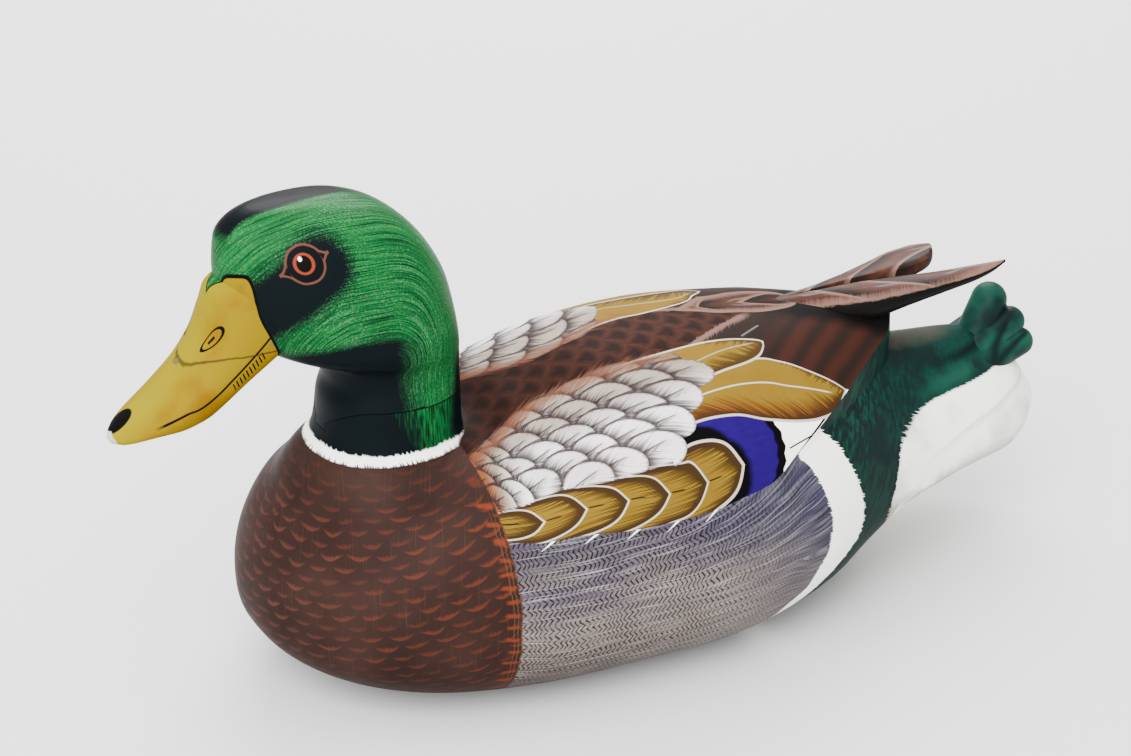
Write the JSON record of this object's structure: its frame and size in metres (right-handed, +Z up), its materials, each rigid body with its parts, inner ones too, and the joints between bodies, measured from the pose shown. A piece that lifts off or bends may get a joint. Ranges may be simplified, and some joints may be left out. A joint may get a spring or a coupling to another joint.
{
  "type": "duck decoy",
  "caption": "Carved and painted wooden drake mallard decoy with a flat underside, folded wing tips and a glued-on head.",
  "frame": {"origin": "on the flat underside, below the middle of the back", "axes": "+Z up; the bill points along -Y and the tail along +Y; the bird's left side is +X"},
  "size_m": [0.176, 0.4306, 0.2078],
  "materials": {
    "body_paint": "satin oil paint over carved wood",
    "head_paint": "satin oil paint over carved wood"
  },
  "bodies": {
    "root": {"body": "body_paint", "head": "head_paint"}
  },
  "joints": []
}
